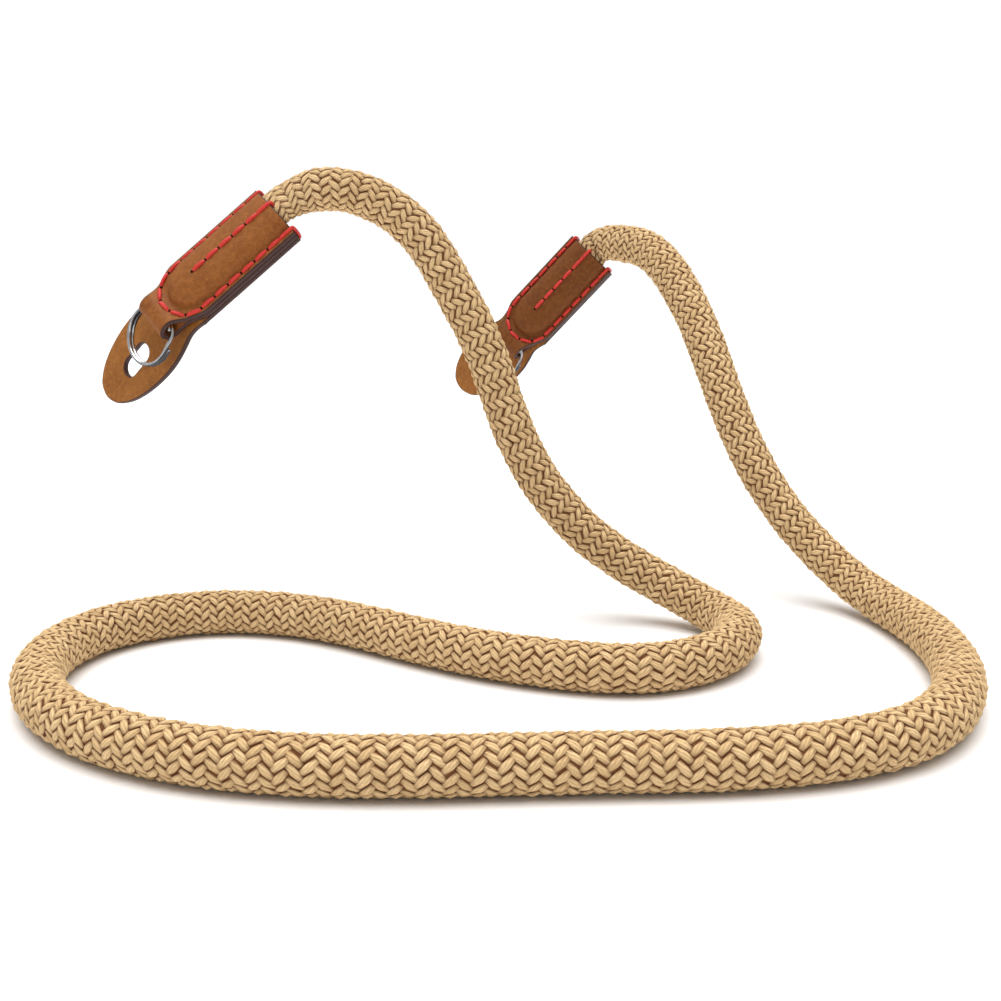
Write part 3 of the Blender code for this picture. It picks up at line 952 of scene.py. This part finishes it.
def guard_mesh():
    """The flat guard cut from its outline and slot, with rounded edges, then bent."""
    thickness = LEATHER + GAP - GAP_SHOWN
    flat = bpy.data.curves.new("guard_flat", "CURVE")
    flat.dimensions = "2D"
    flat.fill_mode = "BOTH"
    flat.extrude = thickness / 2 - EDGE_ROUNDING
    flat.bevel_depth = EDGE_ROUNDING
    flat.bevel_resolution = 2
    flat.offset = -EDGE_ROUNDING
    for outline in (guard_outline(), slot_outline()):
        spline = flat.splines.new("POLY")
        spline.points.add(len(outline) - 1)
        for point, (x, run) in zip(spline.points, outline):
            point.co = (x, run, 0.0, 1.0)
        spline.use_cyclic_u = True
    holder = bpy.data.objects.new("guard_flat", flat)
    scene.collection.objects.link(holder)
    bpy.context.view_layer.update()
    mesh = bpy.data.meshes.new_from_object(holder.evaluated_get(bpy.context.evaluated_depsgraph_get()))
    bpy.data.objects.remove(holder, do_unlink=True)
    work = bmesh.new()
    work.from_mesh(mesh)
    bmesh.ops.remove_doubles(work, verts=work.verts, dist=MERGE_DISTANCE)
    bend_rows = np.linspace(0.0, GUARD_BEND_LENGTH, GUARD_FOLD_ROWS)
    sleeve_rows = np.arange(*GUARD_SLEEVE_ROWS, GUARD_ROW_STEP)
    tongue_rows = np.arange(*GUARD_TONGUE_ROWS, GUARD_ROW_STEP)
    cuts = [((0, run, 0), (0, 1, 0)) for run in (*bend_rows, *sleeve_rows, *tongue_rows)]
    cuts += [((step * GUARD_ROW_STEP, 0, 0), (1, 0, 0)) for step in range(-2, 3)]
    for place, square in cuts:
        geometry = work.verts[:] + work.edges[:] + work.faces[:]
        bmesh.ops.bisect_plane(work, geom=geometry, plane_co=place, plane_no=square, dist=MERGE_DISTANCE / 10)
    bmesh.ops.recalc_face_normals(work, faces=work.faces)
    work.normal_update()
    work.verts.index_update()
    points = np.array([tuple(vert.co) for vert in work.verts])
    faces = [[vert.index for vert in face.verts] for face in work.faces]
    marks = [0 if abs(face.normal.z) > FACE_UPRIGHT else 1 for face in work.faces]
    work.free()
    bpy.data.meshes.remove(mesh)
    return guard_place(points[:, 0], points[:, 1], points[:, 2] + (thickness - LEATHER) / 2), faces, marks


guard_leather = leather_material("guard_leather", *GUARD_TONES)
guard_points, guard_faces, guard_marks = guard_mesh()
for side, location, turns, _ in END_PLACES:
    guard = add_piece(
        side + "_guard_leather",
        into_part(guard_points, location, turns),
        guard_faces,
        [guard_leather, paint],
        guard_marks,
    )
    guard.data.set_sharp_from_angle(angle=math.radians(SHARP_EDGE))
    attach(guard, BODY)
    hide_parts(side + "_guard")

# Split rings: polished steel wire wound in two flat turns side by side, with one short step between
# them. Each hangs in the fold of its leather end, where it can swivel, and hooks on what holds it up.

RING_WIRE = 0.0009
RING_RADIUS = 0.0068
RING_PITCH = 0.0010
RING_SEAT_Y = 0.00063
RING_SEAT_Z = 0.00045
RING_STEP_ANGLE = 5
RING_JOG_ANGLE = 62
RING_JOG_HALF = 18
RING_SIDES = 16
STEEL_REFLECTION_TONES = ((0.055, 0.055, 0.060), (0.74, 0.74, 0.75))

# A wire's rounded end, in shares of its radius: how far it runs on, its tip past that, and its radius
WIRE_END_REACH = 0.35
WIRE_TIP_REACH = 0.12
WIRE_END_RADIUS = 0.72


def ring_line():
    """Two flat turns of wire side by side with one short step between them, in the leather end's frame."""
    first = RING_JOG_ANGLE + RING_JOG_HALF
    last = RING_JOG_ANGLE + 720 - RING_JOG_HALF
    angles = np.linspace(first, last, round((last - first) / RING_STEP_ANGLE) + 1)
    step = RING_PITCH * (ease((angles - RING_JOG_ANGLE - 360 + RING_JOG_HALF) / (2 * RING_JOG_HALF)) - 0.5)
    turn = np.radians(angles)
    flat = points_at(RING_RADIUS * np.sin(turn), RING_RADIUS * np.cos(turn), step)
    swing = math.radians(SWING)
    y = flat[:, 1] * math.cos(swing) - flat[:, 2] * math.sin(swing)
    z = flat[:, 1] * math.sin(swing) + flat[:, 2] * math.cos(swing)
    seat_y = RING_SEAT_Y - RING_RADIUS * math.cos(swing)
    seat_z = RING_SEAT_Z - RING_RADIUS * math.sin(swing)
    return points_at(flat[:, 0], y + seat_y, z + seat_z)


def wire_mesh(path, radius, around):
    """A round wire with softly rounded ends."""
    ways, highs = carried_axes(path, (0.0, 0.0, 1.0))
    ahead = unit(np.gradient(path, axis=0))
    reach, small = radius * WIRE_END_REACH, radius * WIRE_END_RADIUS
    places = [path[0] - ahead[0] * reach, *path, path[-1] + ahead[-1] * reach]
    radii = [small, *([radius] * len(path)), small]
    ways, highs = np.vstack([ways[:1], ways, ways[-1:]]), np.vstack([highs[:1], highs, highs[-1:]])
    turns = np.linspace(0, 2 * math.pi, around, endpoint=False)
    points = [
        place + size * (way * math.sin(turn) + high * math.cos(turn))
        for place, size, way, high in zip(places, radii, ways, highs)
        for turn in turns
    ]
    tip = radius * WIRE_TIP_REACH
    points += [places[0] - ahead[0] * tip, places[-1] + ahead[-1] * tip]
    return np.array(points), tube_faces(len(places), around)


def steel_material():
    """Polished steel with fine scratches and a painted reflection: darker on what faces down, for the table's
    shade.
    """
    material, start, where = new_material("polished_steel")
    haze = noise(start, where, 700.0, 3.0)
    scratches = noise(start, where, 6000.0, 2.0)
    facing = start.node("ShaderNodeTexCoord", "Normal")
    facing = start.node("ShaderNodeSeparateXYZ", "Z", None, {"Vector": facing})
    # Painted reflection: dark on what faces down, bright on what faces up
    colour = blend(start, *STEEL_REFLECTION_TONES, squeeze(start, facing + haze * 0.3, -0.25, 0.45))
    return dress(material, start, colour, 0.12 + 0.12 * haze, scratches, 0.00001, metal=1.0)


steel = steel_material()
ring_points, ring_faces = wire_mesh(ring_line(), RING_WIRE / 2, RING_SIDES)
for side, location, turns, _ in END_PLACES:
    ring = add_piece(side + "_ring_wire", into_part(ring_points, location, turns), ring_faces, [steel])
    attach(ring, BODY)
    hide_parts(side + "_ring")

# Stitches: waxed red thread in a saddle stitch. One row runs down both sides of each sleeve and round
# the rope's end, another along its crest, and the same thread shows on the guard's back.

STITCH_PITCH = 0.0040
STITCH_HALF_LENGTH = 0.00185
STITCH_TIP_REACH = 1.03
STITCH_SINK = 0.00030
STITCH_DIVE = 0.55
STITCH_BOW = 2.6
STITCH_LIFT = 0.00008
STITCH_SLEW = 0.05
STITCH_SEED = 5
EDGE_STITCH_STEPS = 40
THREAD_RADIUS = 0.00046
THREAD_SIDES = 10
THREAD_FLATNESS = 0.9
SEAM_SIDE = 0.0070
SEAM_BEND_Y = 0.0086
SEAM_TOP = 0.0318
SEAM_STEPS = 60
CREST_LOW = 0.0104
BACK_LOW = 0.0095
ROW_SPARE = 0.00002
ROW_STEPS = 12
HOLE_RADIUS = 0.00042
HOLE_SIDES = 12
THREAD_TONES = ((0.48, 0.012, 0.010), (0.72, 0.040, 0.028))
HOLE_SHADE_TONES = ((0.010, 0.004, 0.003), (0.03, 0.010, 0.008))

# A stitch from end to end: share of its half length, share of the thread's radius
STITCH_SHAPE = (
    (-1.00, 0.45),
    (-0.88, 0.80),
    (-0.55, 1.00),
    (-0.10, 1.05),
    (0.35, 1.05),
    (0.72, 0.95),
    (0.92, 0.72),
    (1.00, 0.42),
)

# A needle hole from its rim to its middle: shares of its radius, out and up. Then its middles' heights
HOLE_SHAPE = ((1.00, -0.25), (0.92, 0.02), (0.60, 0.10), (0.25, 0.12))
HOLE_MIDDLES = (-0.3, 0.12)

# The stitches that wrap the mouth's edge, in shares of the thread's radius: how far they stand beyond
# the edge and off the leather, how they round their corners, and how far their ends dive and lean
WRAP_BEYOND = 0.8
WRAP_LIFT = 0.4
WRAP_CORNER = 0.3
WRAP_DIVE = 0.5
WRAP_LEAN = 0.6


def normals_on(face, x, y):
    """Unit normals of a face given as a function of x and y."""
    small = 0.00005
    over = face(x + small, y) - face(x - small, y)
    up = face(x, y + small) - face(x, y - small)
    return unit(np.cross(over, up))


def back_face(x, y):
    return points_at(x, y, -GUARD_MID - LEATHER / 2)


def side_seam():
    """x and y of the long row: down one side, round the rope's end and up the other side."""
    down = [(SEAM_SIDE, y) for y in np.linspace(SEAM_TOP, SEAM_BEND_Y, SEAM_STEPS)]
    bend = [
        (SEAM_SIDE * math.cos(angle), SEAM_BEND_Y - SEAM_SIDE * math.sin(angle))
        for angle in np.linspace(0, math.pi, SEAM_STEPS)[1:-1]
    ]
    return np.array(down + bend + [(-x, y) for x, y in down[::-1]])


def straight_seam(x, low):
    """x and y of a row straight down from the mouth."""
    return np.array([(x, y) for y in np.linspace(SEAM_TOP, low, SEAM_STEPS)])


def stitch_mesh(name):
    """One stitch: a bar of thread, a little flat, that bows up and dives into a hole at both ends."""
    low = -STITCH_SINK * STITCH_DIVE
    vertices = []
    for share, thick in STITCH_SHAPE:
        lift = STITCH_SINK * (1 - abs(share) ** STITCH_BOW) + low
        radius = thick * THREAD_RADIUS
        for step in range(THREAD_SIDES):
            turn = 2 * math.pi * step / THREAD_SIDES
            up = lift + radius * math.cos(turn) * THREAD_FLATNESS
            vertices.append((share * STITCH_HALF_LENGTH, radius * math.sin(turn), up))
    reach = STITCH_HALF_LENGTH * STITCH_TIP_REACH
    vertices += [(-reach, 0, low), (reach, 0, low)]
    return add_piece(name, vertices, tube_faces(len(STITCH_SHAPE), THREAD_SIDES), [])


def hole_mesh(name):
    """One needle hole: a low dimple, coloured near black as painted shade."""
    shape = []
    for share, high in HOLE_SHAPE:
        for step in range(HOLE_SIDES):
            turn = 2 * math.pi * step / HOLE_SIDES
            shape.append((share * math.cos(turn), share * math.sin(turn), high))
    shape += [(0, 0, high) for high in HOLE_MIDDLES]
    return add_piece(name, np.array(shape) * HOLE_RADIUS, tube_faces(len(HOLE_SHAPE), HOLE_SIDES), [])


def stitch_tree():
    sizes = {"Stitch": "Object", "Pitch": "Float", "Unevenness": "Float", "Seed": "Int"}
    tree, given = new_tree("stitches", sizes | {"Material": "Material"})
    start = given["Stitch"]
    row = start.node("GeometryNodeMeshToCurve", 0, None, {"Mesh": given["Geometry"]})
    evenly = {"Curve": row, "Length": given["Pitch"]}
    row = start.node("GeometryNodeResampleCurve", 0, {"mode": "LENGTH"}, evenly)
    kind = {"data_type": "FLOAT_VECTOR"}
    lift = start.node("GeometryNodeInputNamedAttribute", "Attribute", kind, {"Name": "lift"})
    axes = {"Primary Axis": lift, "Secondary Axis": start.node("GeometryNodeInputTangent", 0)}
    turned = start.node("FunctionNodeAxesToRotation", 0, None, axes)
    index = start.node("GeometryNodeInputIndex", "Index")
    slew = chance(start, -1.0, 1.0, index, given["Seed"]) * given["Unevenness"]
    end_tree(tree, copies_on(start, row, given["Stitch"], turned, slew, 1.0), given["Material"])
    return tree


def seam_source(name, rows):
    """Lines of points with their normals, from which the tree takes its curves."""
    mesh = bpy.data.meshes.new(name)
    vertices, edges, lifts = [], [], []
    for points, normals in rows:
        base = len(vertices)
        vertices += [tuple(point) for point in points]
        lifts += [value for normal in normals for value in normal]
        edges += [(base + step, base + step + 1) for step in range(len(points) - 1)]
    mesh.from_pydata(vertices, edges, [])
    mesh.attributes.new("lift", "FLOAT_VECTOR", "POINT").data.foreach_set("vector", lifts)
    return mesh


def cut_row(points, normals, skip, pitch):
    """The part of a row from one point to the last whole pitch after it."""
    runs = runs_of(points)
    count = int((runs[-1] - skip + 1e-6) / pitch)
    stops = np.linspace(skip, skip + count * pitch + ROW_SPARE, count * ROW_STEPS + 1)
    return at_runs(points, runs, stops), at_runs(normals, runs, stops)


def edge_stitches():
    """Stitches over the mouth's edge: round all the layers at both sides, and into it on the crest."""
    thread = THREAD_RADIUS
    beyond = SLEEVE_LENGTH + thread * WRAP_BEYOND
    crest = FRONT_TOP + BULGE_HEIGHT
    behind = -GUARD_MID - LEATHER / 2
    rows = []
    for x, top, bottom, back in (
        (SEAM_SIDE, FRONT_TOP, behind, SEAM_TOP),
        (0.0, crest, crest - LEATHER, SLEEVE_LENGTH - 3 * thread),
        (-SEAM_SIDE, FRONT_TOP, behind, SEAM_TOP),
    ):
        above, below = top + thread * WRAP_LIFT, bottom - thread * WRAP_LIFT
        bends = (
            (SEAM_TOP, top - thread * WRAP_DIVE),
            (SEAM_TOP + thread * WRAP_LEAN, above),
            (SLEEVE_LENGTH - thread, above),
            (beyond, top - thread * WRAP_CORNER),
            (beyond, bottom + thread * WRAP_CORNER),
            (SLEEVE_LENGTH - thread, below),
            (back + thread * WRAP_LEAN, below),
            (back, bottom + thread * WRAP_DIVE),
        )
        path = smooth_run(np.array(bends), EDGE_STITCH_STEPS)
        rows.append(points_at(x, path[:, 0], path[:, 1]))
    return rows


clouds = (300.0, 2.0, 0.4)
thread = plain_material("red_thread", THREAD_TONES, (2600.0, 3.0), (0.42, 0.2), 0.00014, 0.4, clouds)
# Needle holes coloured near black as painted shade in them
hole_shade_material = plain_material("needle_hole", HOLE_SHADE_TONES, (3000.0, 2.0), (0.9, 0.05), 0.0001, 0.05)
stitching = stitch_tree()
one_stitch = stitch_mesh("one_stitch")
one_hole = hole_mesh("one_hole")
for side, location, turns, _ in END_PLACES:
    vertices, faces = [], []
    for path in edge_stitches():
        points, quads = wire_mesh(path, THREAD_RADIUS, THREAD_SIDES)
        faces += [[corner + len(vertices) for corner in face] for face in quads]
        vertices += list(into_part(points, location, turns))
    wraps = add_piece(side + "_edge_stitches", vertices, faces, [thread])
    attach(wraps, BODY)
    rows = []
    for seam, face, turn_over in (
        (side_seam(), front_face, 1),
        (straight_seam(0.0, CREST_LOW), front_face, 1),
        (straight_seam(SEAM_SIDE, BACK_LOW), back_face, -1),
        (straight_seam(-SEAM_SIDE, BACK_LOW), back_face, -1),
        (straight_seam(0.0, CREST_LOW), back_face, -1),
    ):
        x, y = seam[:, 0], seam[:, 1]
        points, normals = face(x, y), normals_on(face, x, y) * turn_over
        rows.append((points + normals * STITCH_LIFT, normals))
    _, axes = end_frame(location, turns)
    for name, template, material, lead, uneven in (
        ("_stitches", one_stitch, thread, STITCH_PITCH / 2, STITCH_SLEW),
        ("_needle_holes", one_hole, hole_shade_material, 0.0, 0.0),
    ):
        laid = []
        for points, normals in rows:
            points, normals = cut_row(points, normals, lead, STITCH_PITCH)
            laid.append((into_part(points, location, turns), normals @ axes.T))
        values = {"Stitch": template, "Pitch": STITCH_PITCH, "Unevenness": uneven}
        values |= {"Seed": STITCH_SEED, "Material": material}
        piece = made_by(stitching, side + name, values, seam_source(side + name + "_row", laid))
        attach(piece, BODY)
for template in (one_stitch, one_hole):
    bpy.data.objects.remove(template, do_unlink=True)
